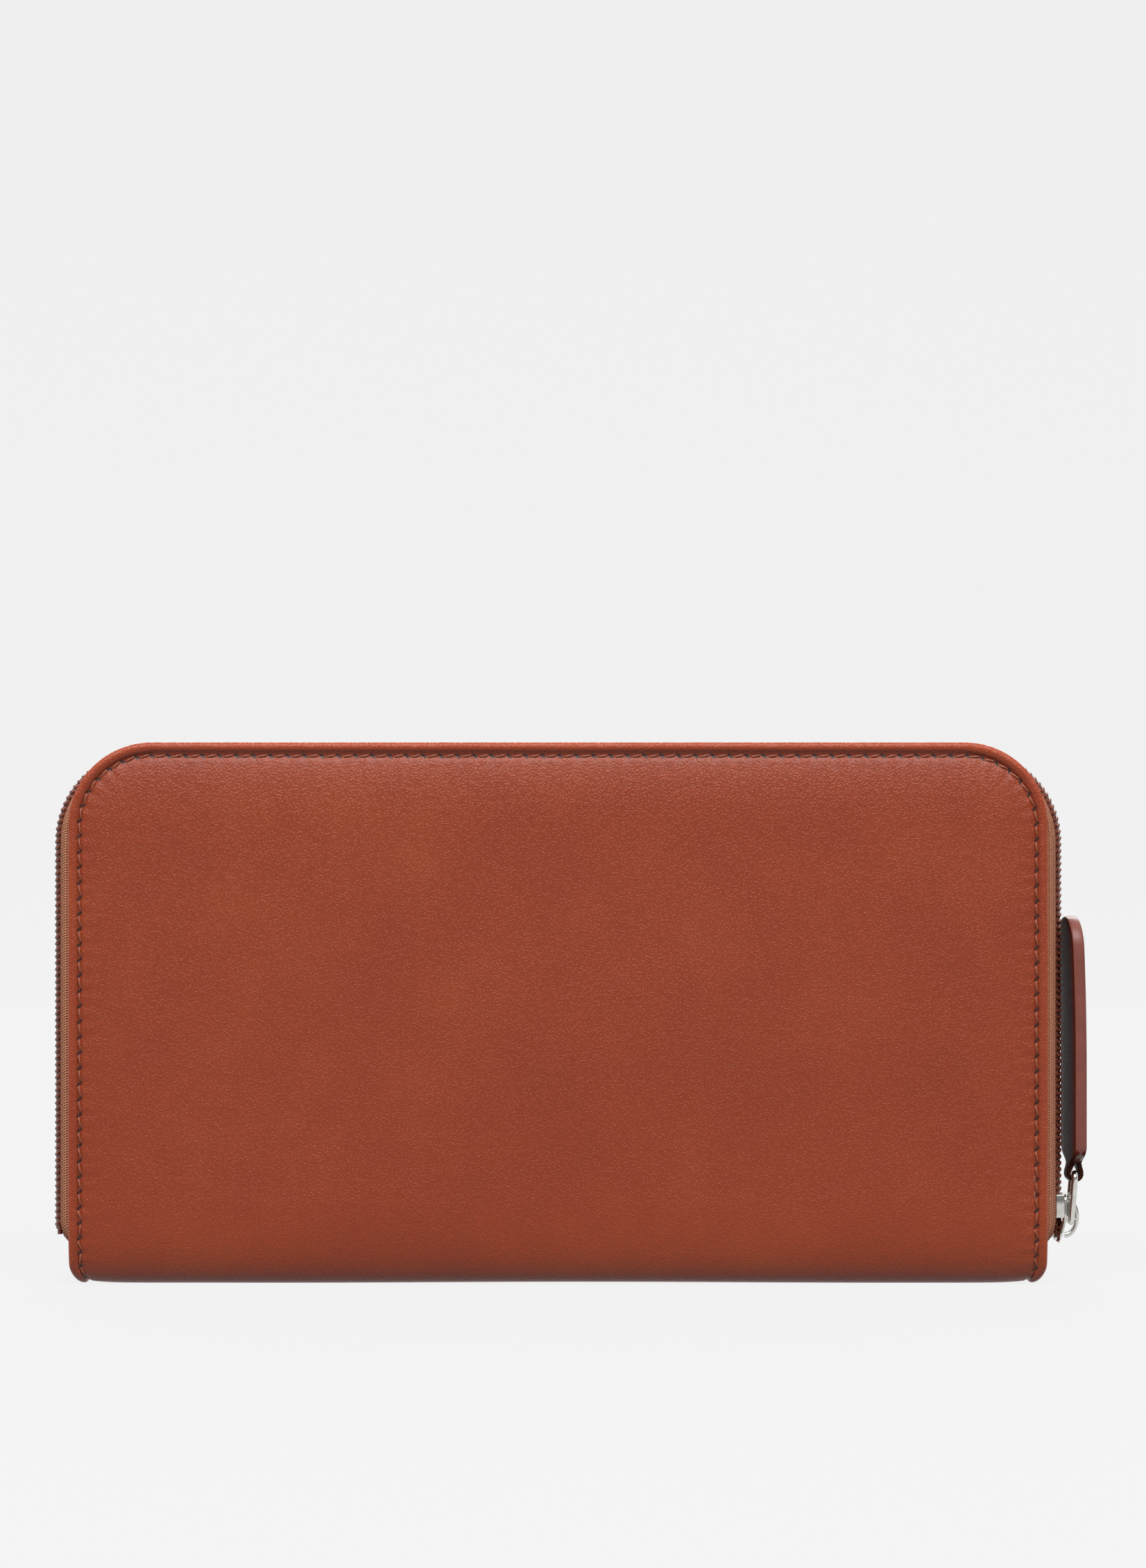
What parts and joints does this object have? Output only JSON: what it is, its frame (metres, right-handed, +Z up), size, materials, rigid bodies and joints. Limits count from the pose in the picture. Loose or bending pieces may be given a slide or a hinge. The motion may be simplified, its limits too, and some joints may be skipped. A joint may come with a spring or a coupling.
{
  "type": "zip around wallet",
  "caption": "Long leather wallet with rounded top corners, closed by a zip round three sides, with a ring and leather tab on the slider, card rows and an inner coin pocket.",
  "frame": {"origin": "centre of the spine's flat base, which the closed wallet stands on", "axes": "+X along the width, towards the slider; +Y from the front cover to the rear cover; +Z up"},
  "size_m": [0.2021, 0.0248, 0.1054],
  "materials": {
    "cover_leather": "fine grain, semi matte",
    "tab_leather": "smooth, painted edges",
    "lining": "plain weave",
    "board": "matte",
    "thread": "twisted thread",
    "zip_tape": "woven",
    "zip_coil": "satin",
    "plated_metal": "polished"
  },
  "bodies": {
    "spine": {"cover_spine": "cover_leather", "board_spine": "board", "lining_spine": "lining", "coin_wall_front": "lining", "coin_wall_rear": "lining", "coin_gusset": "lining", "coin_zip_tape_front": "zip_tape", "coin_zip_tape_rear": "zip_tape", "coin_zip_coil_front": "zip_coil", "coin_zip_coil_rear": "zip_coil", "gusset_front_left": "lining", "gusset_front_right": "lining", "gusset_rear_left": "lining", "gusset_rear_right": "lining"},
    "front": {"cover_front": "cover_leather", "board_front": "board", "lining_front": "lining", "seam_thread_front": "thread", "zip_tape_front": "zip_tape", "zip_coil_front": "zip_coil", "slip_pocket_front": "lining", "card_row_front_1": "cover_leather", "card_row_front_2": "cover_leather", "card_row_front_3": "cover_leather", "card_row_front_4": "cover_leather", "card_seam_front": "thread"},
    "rear": {"cover_rear": "cover_leather", "board_rear": "board", "lining_rear": "lining", "seam_thread_rear": "thread", "zip_tape_rear": "zip_tape", "zip_coil_rear": "zip_coil", "slip_pocket_rear": "lining", "card_row_rear_1": "cover_leather", "card_row_rear_2": "cover_leather", "card_row_rear_3": "cover_leather", "card_row_rear_4": "cover_leather", "card_seam_rear": "thread"},
    "slider": {"slider_body": "plated_metal", "slider_crown": "plated_metal"},
    "ring": {"pull_ring": "plated_metal"},
    "tab": {"pull_tab": "tab_leather"},
    "coin_slider": {"coin_slider_body": "plated_metal", "coin_slider_crown": "plated_metal"},
    "coin_pull": {"coin_pull": "plated_metal"}
  },
  "joints": [
    {"name": "front_open", "type": "hinge", "parent": "spine", "child": "front", "pos_m": [0, -0.0124, 0.01], "axis": [1, 0, 0], "range_deg": [0, 40], "deforming": ["zip_tape_front", "zip_coil_front", "gusset_front_left", "gusset_front_right"]},
    {"name": "rear_open", "type": "hinge", "parent": "spine", "child": "rear", "pos_m": [0, 0.0124, 0.01], "axis": [-1, 0, 0], "range_deg": [0, 40], "deforming": ["zip_tape_rear", "gusset_rear_left", "gusset_rear_right"]},
    {"name": "zip_slide", "type": "slide", "parent": "rear", "child": "slider", "axis": [0, 0, 1], "range_m": [0, 0.066], "deforming": ["zip_coil_rear"]},
    {"name": "ring_swing", "type": "hinge", "parent": "slider", "child": "ring", "pos_m": [0.1005, 0, 0.0115], "axis": [0, -1, 0], "range_deg": [-165, 0]},
    {"name": "tab_swing", "type": "hinge", "parent": "ring", "child": "tab", "pos_m": [0.10125, 0, 0.02087], "axis": [-0.1392, 0.9903, 0], "range_deg": [0, 120]},
    {"name": "coin_zip_slide", "type": "slide", "parent": "spine", "child": "coin_slider", "axis": [-1, 0, 0], "range_m": [0, 0.14], "deforming": ["coin_zip_coil_front", "coin_zip_coil_rear"]},
    {"name": "coin_pull_swing", "type": "hinge", "parent": "coin_slider", "child": "coin_pull", "pos_m": [0.0716, 0, 0.0936], "axis": [0, 1, 0], "range_deg": [0, 165]}
  ]
}
